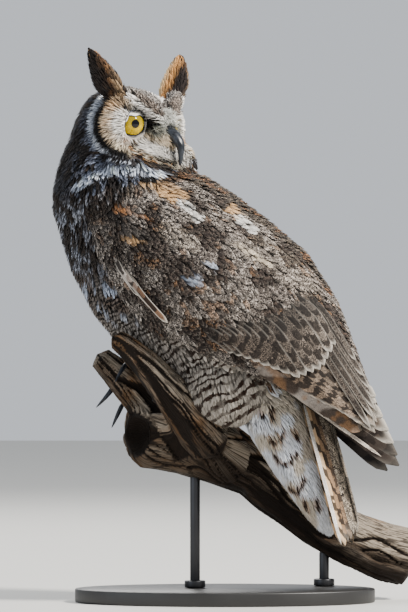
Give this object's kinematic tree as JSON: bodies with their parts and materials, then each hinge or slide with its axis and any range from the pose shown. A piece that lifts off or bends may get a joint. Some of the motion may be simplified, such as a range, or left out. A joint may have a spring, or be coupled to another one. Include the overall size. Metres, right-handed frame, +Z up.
{
  "type": "great horned owl",
  "caption": "Life-size great horned owl gripping a broken limb and looking back over its shoulder, on a plain display stand with a flat base and short rods.",
  "frame": {"origin": "middle of the underside of the stand's base", "axes": "+Z up; the owl's breast looks towards -X, its left side towards -Y, and the limb runs towards +X"},
  "size_m": [0.3692, 0.1832, 0.551],
  "materials": {
    "plumage_back": "barred and finely mottled grey-brown feathers",
    "plumage_breast": "mottled dark brown and white feathers",
    "plumage_face": "tawny and grey-white facial feathers",
    "plumage_pale": "white feathers with narrow dark bars",
    "foot": "scaled grey toes with short pale feathers",
    "eye": "wet yellow iris round a black pupil",
    "horn": "smooth blue-black horn",
    "wood": "weathered grooved wood and dark bark",
    "stand": "matt black paint"
  },
  "bodies": {
    "root": {"perch": "wood", "stand_base": "stand", "stand_rod_front": "stand", "stand_rod_rear": "stand", "eye_left": "eye", "eye_right": "eye", "bill_upper": "horn", "bill_lower": "horn", "head": "plumage_face", "ear_tuft_left": "plumage_back", "ear_tuft_right": "plumage_back", "neck": "plumage_breast", "trunk": "plumage_breast", "talon_left_1": "horn", "talon_left_2": "horn", "talon_left_3": "horn", "talon_left_4": "horn", "foot_left": "foot", "shank_left": "plumage_pale", "thigh_left": "plumage_pale", "talon_right_1": "horn", "talon_right_2": "horn", "talon_right_3": "horn", "talon_right_4": "horn", "foot_right": "foot", "shank_right": "plumage_pale", "thigh_right": "plumage_pale", "tail_coverts": "plumage_pale", "tail_feathers": "plumage_back", "wing_left_coverts": "plumage_back", "wing_left_primaries": "plumage_back", "wing_right_coverts": "plumage_back", "wing_right_primaries": "plumage_back"}
  },
  "joints": []
}
